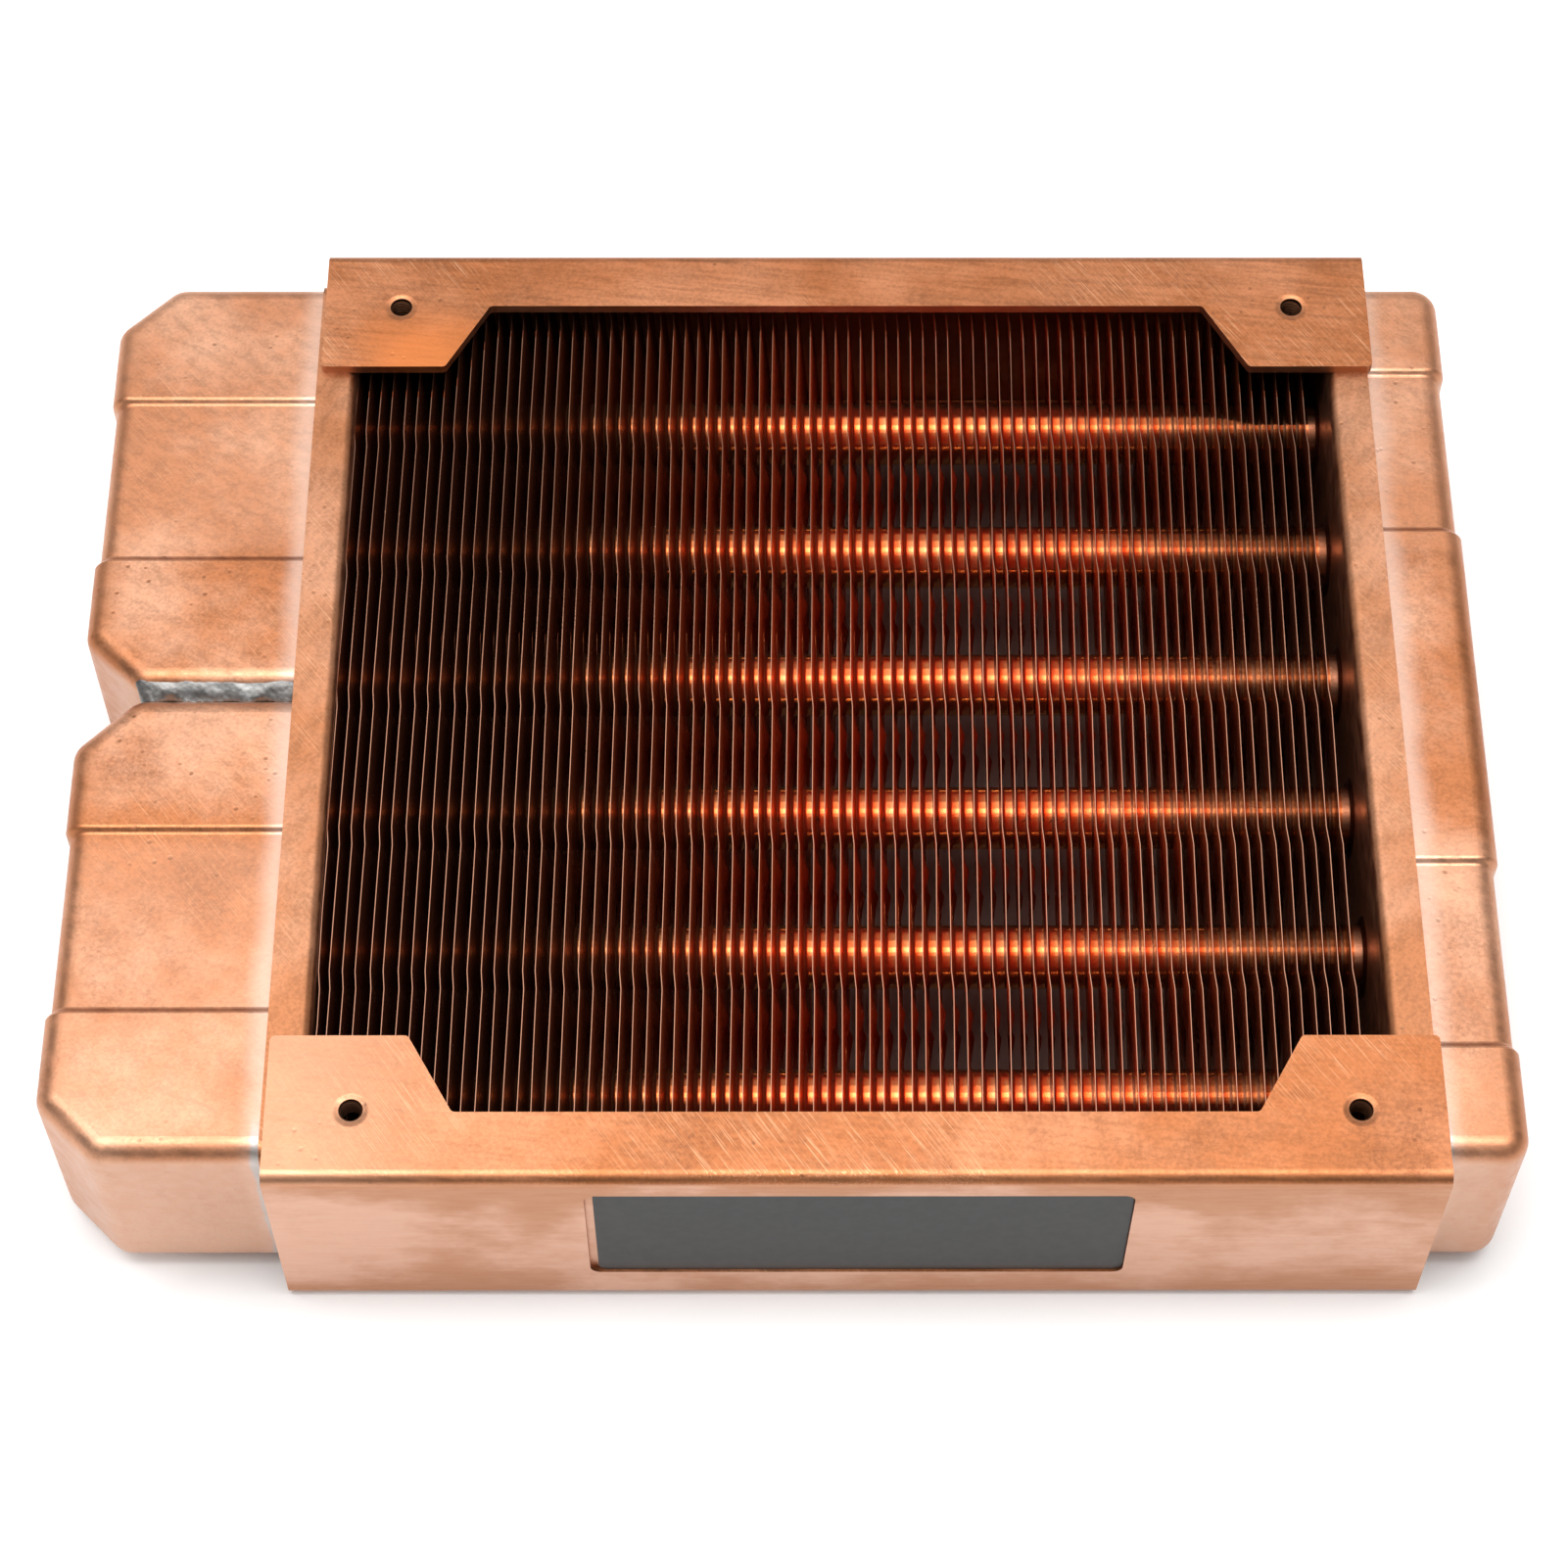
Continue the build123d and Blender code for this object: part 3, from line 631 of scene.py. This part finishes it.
port_brass = metal(
    "turned brass",
    bump=0.2,
    bump_depth=0.03 * mm,
    Clean=(0.80, 0.56, 0.25, 1),
    Pale=(0.88, 0.66, 0.36, 1),
    Smudge=(0.40, 0.24, 0.09, 1),
    Brush_Scale=(500, 500, 2500),
    Smudge_Amount=0.3,
    Base_Roughness=0.30,
    Seed=11.0,
)[0]
wear(["inlet_port_bush", "outlet_port_bush"], port_brass)


def thread(name, centre, bore_r, depth, pitch, z_low, turns, material):
    """The ridge of a screw thread on a bore's wall, one spun profile."""
    bm = bmesh.new()
    steps = 20
    root_r, half_foot = bore_r + 0.02 * mm, 0.42 * pitch
    ridge = [
        bm.verts.new((root_r, 0, -half_foot)),
        bm.verts.new((bore_r - depth, 0, 0)),
        bm.verts.new((root_r, 0, half_foot)),
    ]
    outline = [bm.edges.new((ridge[i], ridge[(i + 1) % 3])) for i in range(3)]
    end = bm.faces.new(ridge)
    bmesh.ops.spin(
        bm,
        geom=ridge + outline + [end],
        cent=(0, 0, 0),
        axis=(0, 0, 1),
        dvec=(0, 0, pitch / steps),
        angle=2 * pi * turns,
        steps=steps * turns,
        use_duplicate=False,
    )
    bmesh.ops.remove_doubles(bm, verts=bm.verts[:], dist=0.001 * mm)
    bmesh.ops.translate(bm, verts=bm.verts[:], vec=(centre[0], centre[1], z_low))
    bmesh.ops.recalc_face_normals(bm, faces=bm.faces[:])
    mesh = bpy.data.meshes.new(name)
    bm.to_mesh(mesh)
    bm.free()
    smooth(mesh, 35)
    ridge_piece = bpy.data.objects.new(name, mesh)
    bpy.context.scene.collection.objects.link(ridge_piece)
    mesh.materials.append(material)
    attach(ridge_piece, "root")


PORT_PITCH, PORT_TURNS = 1.337 * mm, 5
PORT_THREAD_DEPTH = 0.5 * mm
mounts = {mount["name"]: mount for mount in frame["record"]["mounts"]}
for side in ("inlet", "outlet"):
    port = mounts[f"{side}_port"]
    thread(
        f"{side}_port_thread",
        port["pos_m"],
        port["dims"]["r_mm"] * mm,
        PORT_THREAD_DEPTH,
        PORT_PITCH,
        port["pos_m"][2] + PORT_PITCH,
        PORT_TURNS,
        port_brass,
    )

# ---------------------------------------------------------------------------------------------
# Side plates. Two folded copper channels close the long sides and carry the tapped screw holes
# for a fan. Brushed along their length, then handled: scratches on the tabs, brown smudges.

plate_copper, plate_tree, plate_skin, plate_shader = metal(
    "plate copper",
    bump=0.4,
    bump_depth=0.05 * mm,
    Clean=(0.42, 0.148, 0.058, 1),
    Pale=(0.53, 0.22, 0.108, 1),
    Smudge=(0.25, 0.10, 0.048, 1),
    Brush_Scale=(110, 1500, 1900),
    Turn=(0, 0, 0.12),
    Scratch_Turn=(0, 0, 0.95),
    Smudge_Amount=0.6,
    Scratches=0.45,
    Base_Roughness=0.40,
    Seed=1.0,
)
# The first two colours paint shade on the plates' bends and a paler reflection on their upright faces.
PLATE_BEND_SHADE = (0.42, 0.17, 0.07, 1)
PLATE_SIDE_LIGHT = (0.66, 0.395, 0.285, 1)
SMUDGE_BROWN = (0.46, 0.21, 0.105, 1)
# The next colour is painted light on the level faces at the front side's left end.
FLANGE_LIGHT_PALE = (0.74, 0.42, 0.27, 1)
HEAT_ORANGE = (0.72, 0.23, 0.07, 1)
RUBBED_RIM = (0.72, 0.42, 0.26, 1)
# The next colour is painted shade for the inside of the screw holes.
HOLE_SHADE = (0.07, 0.03, 0.016, 1)
RIGHT_TAN_XS = (-20 * mm, 60 * mm)
POCKET_END_X = -37 * mm
POCKET_TAN_OUT, POCKET_TAN_IN = 13 * mm, 3 * mm
FLANGE_LIGHT_XS, FLANGE_LIGHT_YS = (-34 * mm, -60 * mm), (0.0, -20 * mm)
HEATED_SPOT = (-50 * mm, 44 * mm, cad_box[1].z)
HEAT_OUT, HEAT_IN, HEAT_RAGGED = 14 * mm, 5 * mm, 6 * mm
plate_place = add(plate_tree, "ShaderNodeTexCoord").outputs["Object"]
plate_spot = add(plate_tree, "ShaderNodeSeparateXYZ", Vector=plate_place)
plate_x, plate_y = plate_spot.outputs["X"], plate_spot.outputs["Y"]
plate_facing = add(plate_tree, "ShaderNodeTexCoord").outputs["Normal"]
plate_rise = add(plate_tree, "ShaderNodeSeparateXYZ", Vector=plate_facing).outputs["Z"]
upright = fade(plate_tree, calc(plate_tree, "MULTIPLY", plate_rise, plate_rise), 0.3, 0.0)
half_height = cad_box[1].z / 2
from_middle = calc(plate_tree, "SUBTRACT", plate_spot.outputs["Z"], half_height)
from_middle = calc(plate_tree, "ABSOLUTE", from_middle)
long_clouds = add(plate_tree, "ShaderNodeMapping", Vector=plate_place, Scale=(0.6, 1.0, 1.0)).outputs[0]
mottle = calc(plate_tree, "MULTIPLY", noise(plate_tree, long_clouds, 70, 5, 0.62), 2.1)
edge_tan = fade(plate_tree, from_middle, 0.3 * half_height, 1.0 * half_height, -0.1, 0.26)
right_tan = fade(plate_tree, plate_x, *RIGHT_TAN_XS, 0.0, 0.3)
pocket_end = calc(plate_tree, "ABSOLUTE", calc(plate_tree, "SUBTRACT", plate_x, POCKET_END_X))
pocket_tan = fade(plate_tree, pocket_end, POCKET_TAN_OUT, POCKET_TAN_IN, 0.0, 0.3)
browned = mottle
for tan_mask in (edge_tan, right_tan, pocket_tan):
    browned = calc(plate_tree, "ADD", browned, tan_mask)
browned = fade(plate_tree, browned, 0.98, 1.48, 0.0, 0.9)
browned = calc(plate_tree, "MULTIPLY", browned, upright)
# Painted light: the level faces turn paler towards the left end of the front side.
left_end = fade(plate_tree, plate_x, *FLANGE_LIGHT_XS, 0.0, 0.5)
front_side = fade(plate_tree, plate_y, *FLANGE_LIGHT_YS)
flange_light = calc(plate_tree, "MULTIPLY", left_end, front_side)
flange_light = calc(plate_tree, "MULTIPLY", flange_light, calc(plate_tree, "SUBTRACT", 1.0, upright))
from_spot = add(plate_tree, "ShaderNodeVectorMath", {"operation": "DISTANCE"})
plate_tree.links.new(plate_place, from_spot.inputs[0])
from_spot.inputs[1].default_value = HEATED_SPOT
heat_ragged = calc(plate_tree, "MULTIPLY", noise(plate_tree, plate_place, 120, 3), HEAT_RAGGED)
heat = calc(plate_tree, "ADD", from_spot.outputs["Value"], heat_ragged)
heat = fade(plate_tree, heat, HEAT_OUT, HEAT_IN, 0.0, 0.8)

SCREW_PITCH = 0.5 * mm
SCREW_TURNS = 5
SCREW_THREAD_DEPTH = 0.2 * mm
THREAD_TOP_DEPTH, THREAD_BOTTOM_INSET = 2.75 * mm, 0.25 * mm
screws = mounts["fan_holes_top"]
half_pattern = screws["dims"]["spacing_x_mm"] / 2 * mm
DIMPLE_IN, DIMPLE_OUT = 1.1 * mm, 2.0 * mm
DIMPLE_DEPTH = 0.2 * mm
# Painted shade: the screw holes are coloured nearly black inside.
HOLE_SHADE_OUT, HOLE_SHADE_IN = 1.34 * mm, 1.27 * mm
hole_x = calc(plate_tree, "SUBTRACT", calc(plate_tree, "ABSOLUTE", plate_x), half_pattern)
hole_y = calc(plate_tree, "SUBTRACT", calc(plate_tree, "ABSOLUTE", plate_y), half_pattern)
square_x = calc(plate_tree, "MULTIPLY", hole_x, hole_x)
square_y = calc(plate_tree, "MULTIPLY", hole_y, hole_y)
from_hole = calc(plate_tree, "SQRT", calc(plate_tree, "ADD", square_x, square_y))
dimple = fade(plate_tree, from_hole, DIMPLE_IN, DIMPLE_OUT)
rubbed = fade(plate_tree, from_hole, DIMPLE_OUT, DIMPLE_IN, 0.0, 0.15)
hole_shade = fade(plate_tree, from_hole, HOLE_SHADE_OUT, HOLE_SHADE_IN, 0.0, 0.85)
plate_colour = paint_bend_shade_and_side_light(
    plate_tree,
    plate_skin.outputs["Color"],
    dark=PLATE_BEND_SHADE,
    amount=0.25,
    side_light_tone=PLATE_SIDE_LIGHT,
    side_amount=0.9,
)
for mask, tone in (
    (browned, SMUDGE_BROWN),
    (flange_light, FLANGE_LIGHT_PALE),
    (heat, HEAT_ORANGE),
    (rubbed, RUBBED_RIM),
    (hole_shade, HOLE_SHADE),
):
    plate_colour = blend_colours(plate_tree, mask, plate_colour, tone)
plate_tree.links.new(plate_colour, plate_shader.inputs["Base Color"])
dimple_relief = add(plate_tree, "ShaderNodeBump", Strength=1.0, Distance=DIMPLE_DEPTH, Height=dimple)
plate_relief = plate_shader.inputs["Normal"].links[0].from_node
plate_tree.links.new(dimple_relief.outputs[0], plate_relief.inputs["Normal"])
wear(["front_side_plate", "rear_side_plate"], plate_copper)
thread_levels = (("top", screws["pos_m"][2] - THREAD_TOP_DEPTH), ("bottom", THREAD_BOTTOM_INSET))
for level, z_low in thread_levels:
    for number, (x, y) in enumerate([(x, y) for x in (-1, 1) for y in (-1, 1)], start=1):
        thread(
            f"screw_thread_{level}_{number}",
            (x * half_pattern, y * half_pattern),
            screws["dims"]["hole_r_mm"] * mm,
            SCREW_THREAD_DEPTH,
            SCREW_PITCH,
            z_low,
            SCREW_TURNS,
            plate_copper,
        )

# ---------------------------------------------------------------------------------------------
# Name plate. A plain dark-grey plate lies in the front plate's pressed pocket. Smooth and even,
# with only a faint mottle in its sheen.

name_grey = bpy.data.materials.new("name plate grey")
name_grey.use_nodes = True
name_tree = name_grey.node_tree
name_shader = name_tree.nodes["Principled BSDF"]
name_place = add(name_tree, "ShaderNodeTexCoord").outputs["Object"]
name_mottle = noise(name_tree, name_place, 900, 3)
NAME_DARK, NAME_LIGHT = (0.0215, 0.0212, 0.0205, 1), (0.0225, 0.0222, 0.0215, 1)
name_colour = blend_colours(name_tree, name_mottle, NAME_DARK, NAME_LIGHT)
name_relief = add(name_tree, "ShaderNodeBump", Strength=0.03, Distance=0.02 * mm, Height=name_mottle)
name_tree.links.new(name_colour, name_shader.inputs["Base Color"])
name_shader.inputs["Specular IOR Level"].default_value = 0.4
name_tree.links.new(fade(name_tree, name_mottle, 0.3, 0.7, 0.47, 0.51), name_shader.inputs["Roughness"])
name_tree.links.new(name_relief.outputs[0], name_shader.inputs["Normal"])
wear(["name_plate"], name_grey)

# ---------------------------------------------------------------------------------------------
# Solder. Tin solder fills the groove between the supply chambers and the seams where the trays
# meet the side plates, and rings each tube at its web. It sets in soft lumps, dull silver with a
# little copper in it.

solder = metal(
    "tin solder",
    bump=0.5,
    bump_depth=0.08 * mm,
    Clean=(0.13, 0.127, 0.123, 1),
    Pale=(0.21, 0.206, 0.20, 1),
    Smudge=(0.08, 0.068, 0.058, 1),
    Brush_Scale=(700, 700, 700),
    Smudge_Amount=0.5,
    Base_Roughness=0.36,
    Seed=5.0,
)[0]
ring_solder = metal(
    "coppered solder",
    bump=0.6,
    bump_depth=0.1 * mm,
    Clean=(0.20, 0.09, 0.06, 1),
    Pale=(0.34, 0.20, 0.15, 1),
    Smudge=(0.10, 0.035, 0.02, 1),
    Brush_Scale=(500, 500, 500),
    Smudge_Amount=0.8,
    Base_Roughness=0.35,
    Seed=9.0,
)[0]
wear(["corner_seam_solder"], solder)
wear(["left_tube_solder", "right_tube_solder"], ring_solder)

BEAD_SLIT = 0.6 * mm
BEAD_SPREAD = 1.25 * mm
BEAD_LUMP = 0.07 * mm
BEAD_SINK, BEAD_FALL, BEAD_END_SINK = 0.32 * mm, 1.5 * mm, 0.5 * mm
BEAD_FLARE, BEAD_WANDER = 1.2 * mm, 0.25 * mm
LUMPS_ALONG, LUMPS_ACROSS, LUMP_SEED = 8, 2.5, 3.0
FINE_ALONG, FINE_ACROSS, FINE_SEED = 30, 9.0, 8.0
BEAD_STEPS, BEAD_ROWS = 120, 16
tank_low, tank_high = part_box("inlet_tank_shell")


def solder_bead(name, node, up):
    """A lumpy run of solder: it clings to the rear chamber's bend and leaves a slit at the front one."""
    low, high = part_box(node)
    front, back = low.y + BEAD_SLIT, high.y + BEAD_SPREAD
    crest, foot = (tank_high.z, low.z) if up > 0 else (tank_low.z, high.z)
    bm = bmesh.new()
    bmesh.ops.create_grid(bm, x_segments=BEAD_STEPS, y_segments=BEAD_ROWS, size=0.5)
    for vert in bm.verts:
        along, across = vert.co.x + 0.5, vert.co.y + 0.5
        lump = lump_noise.noise(Vector((along * LUMPS_ALONG, across * LUMPS_ACROSS, LUMP_SEED + up)))
        fine = lump_noise.noise(Vector((along * FINE_ALONG, across * FINE_ACROSS, FINE_SEED)))
        end = min(1.0, along * 14)
        fall = BEAD_SINK + BEAD_FALL * (1 - across) ** 1.7
        rough = BEAD_LUMP * (1.5 * lump + fine) * (1.2 - across)
        sink = fall + rough + BEAD_END_SINK * (1 - end) ** 2
        vert.co.x = low.x - BEAD_FLARE * across * (1 - along) + (high.x - low.x) * along
        vert.co.y = front + (back - front) * across + BEAD_WANDER * lump * (1 - across)
        vert.co.z = crest - up * sink
    rim = [e for e in bm.edges if e.is_boundary]
    made = bmesh.ops.extrude_edge_only(bm, edges=rim)["geom"]
    for vert in made:
        if isinstance(vert, bmesh.types.BMVert):
            vert.co.y = min(vert.co.y, high.y)
            vert.co.z = foot
    bmesh.ops.holes_fill(bm, edges=[e for e in bm.edges if e.is_boundary], sides=0)
    bmesh.ops.recalc_face_normals(bm, faces=bm.faces[:])
    mesh = bpy.data.meshes.new(name)
    bm.to_mesh(mesh)
    bm.free()
    smooth(mesh, 60)
    bead = bpy.data.objects.new(name, mesh)
    bpy.context.scene.collection.objects.link(bead)
    mesh.materials.append(solder)
    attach(bead, "root")
    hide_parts(node)


solder_bead("gap_bead_top", "gap_solder_top", 1)
solder_bead("gap_bead_bottom", "gap_solder_bottom", -1)

# ---------------------------------------------------------------------------------------------
# Studio. A white floor under a large overhead softbox and a narrow key strip. The surround is
# bright near the floor, overhead and behind, and dark between, so that bends show dark lines.

scene = bpy.context.scene
scene.view_settings.view_transform = "Standard"
world = bpy.data.worlds.new("studio")
world.use_nodes = True
sky_tree = world.node_tree
backdrop = sky_tree.nodes["Background"]
backdrop.inputs["Color"].default_value = (1, 1, 1, 1)
way = add(sky_tree, "ShaderNodeTexCoord").outputs["Generated"]
way_parts = add(sky_tree, "ShaderNodeSeparateXYZ", Vector=way)
height = way_parts.outputs["Z"]
near_floor = fade(sky_tree, height, 0.08, 0.24, 0.7, 0.0)
overhead = fade(sky_tree, height, 0.55, 0.9, 0.3, 0.75)
behind = fade(sky_tree, way_parts.outputs["Y"], 0.25, 0.6, 0.0, 0.75)
above_rear = calc(sky_tree, "MULTIPLY", behind, fade(sky_tree, height, 0.12, 0.3))
glow = calc(sky_tree, "MAXIMUM", calc(sky_tree, "ADD", near_floor, overhead), above_rear)
sky_tree.links.new(glow, backdrop.inputs["Strength"])
scene.world = world


def studio_light(name, place, aim, width, depth, power):
    lamp = bpy.data.lights.new(name, "AREA")
    lamp.shape = "RECTANGLE"
    lamp.size, lamp.size_y = width, depth
    lamp.energy = power
    holder = bpy.data.objects.new(name, lamp)
    scene.collection.objects.link(holder)
    holder.location = place
    holder.rotation_euler = (Vector(aim) - Vector(place)).to_track_quat("-Z", "Y").to_euler()


studio_light(
    "softbox",
    place=(-0.15, 0.09, 0.95),
    aim=(-0.15, 0.09, 0),
    width=1.3,
    depth=1.06,
    power=6.3,
)
studio_light(
    "key strip",
    place=(-0.02, -0.055, 0.90),
    aim=(-0.02, -0.055, 0),
    width=0.9,
    depth=0.27,
    power=3.5,
)

FLOOR_HALF, FLOOR_DROP = 3.0, 0.1 * mm
FLOOR_WHITE = (0.93, 0.93, 0.93, 1)
# Under the core the floor is tinted reddish brown: a painted glow of copper light bouncing between the
# fins.
FLOOR_CORE_GLOW_TINT = (0.62, 0.40, 0.33, 1)
FLOOR_GLOW = 0.16
bm = bmesh.new()
bmesh.ops.create_grid(bm, x_segments=1, y_segments=1, size=FLOOR_HALF)
bmesh.ops.translate(bm, verts=bm.verts[:], vec=(0, 0, -FLOOR_DROP))
floor_mesh = bpy.data.meshes.new("floor")
bm.to_mesh(floor_mesh)
bm.free()
floor = bpy.data.objects.new("floor", floor_mesh)
scene.collection.objects.link(floor)
floor_white = bpy.data.materials.new("floor white")
floor_white.use_nodes = True
floor_tree = floor_white.node_tree
floor_shader = floor_tree.nodes["Principled BSDF"]
floor_shader.inputs["Roughness"].default_value = 0.9
floor_place = add(floor_tree, "ShaderNodeTexCoord").outputs["Object"]
floor_spot = add(floor_tree, "ShaderNodeSeparateXYZ", Vector=floor_place)
floor_x = calc(floor_tree, "ABSOLUTE", floor_spot.outputs["X"])
floor_y = calc(floor_tree, "ABSOLUTE", floor_spot.outputs["Y"])
end_x, end_y = cad_box[1].x, cad_box[1].y
# Painted light: the floor glows of itself, fading out towards and under the radiator.
LIT_XS, LIT_YS = (end_x - 4 * mm, end_x + 12 * mm), (end_y - 8 * mm, end_y + 8 * mm)
CORE_XS, CORE_YS = (end_x - 14 * mm, end_x - 8 * mm), (end_y - 8 * mm, end_y - 2 * mm)
out_x = fade(floor_tree, floor_x, *LIT_XS)
out_y = fade(floor_tree, floor_y, *LIT_YS)
lit = calc(floor_tree, "MAXIMUM", out_x, out_y)
lit_colour = add(floor_tree, "ShaderNodeCombineColor", Red=lit, Green=lit, Blue=lit).outputs[0]
# Painted glow: the floor is reddish brown under the core.
core_x = fade(floor_tree, floor_x, *CORE_XS)
core_y = fade(floor_tree, floor_y, *CORE_YS)
clear_of_core = calc(floor_tree, "MAXIMUM", core_x, core_y)
floor_colour = blend_colours(floor_tree, clear_of_core, FLOOR_CORE_GLOW_TINT, FLOOR_WHITE)
floor_tree.links.new(floor_colour, floor_shader.inputs["Base Color"])
floor_tree.links.new(lit_colour, floor_shader.inputs["Emission Color"])
floor_shader.inputs["Emission Strength"].default_value = FLOOR_GLOW
floor_mesh.materials.append(floor_white)

lens = bpy.data.cameras.new("camera")
lens.lens = 87.3
lens.sensor_width = 36.0
camera = bpy.data.objects.new("camera", lens)
scene.collection.objects.link(camera)
camera.matrix_world = (
    Matrix.Translation((-8.21 * mm, -226.1 * mm, 385.34 * mm))
    @ Matrix.Rotation(radians(30.874), 4, "X")
    @ Matrix.Rotation(radians(-0.107), 4, "Y")
    @ Matrix.Rotation(radians(-0.021), 4, "Z")
)
scene.camera = camera
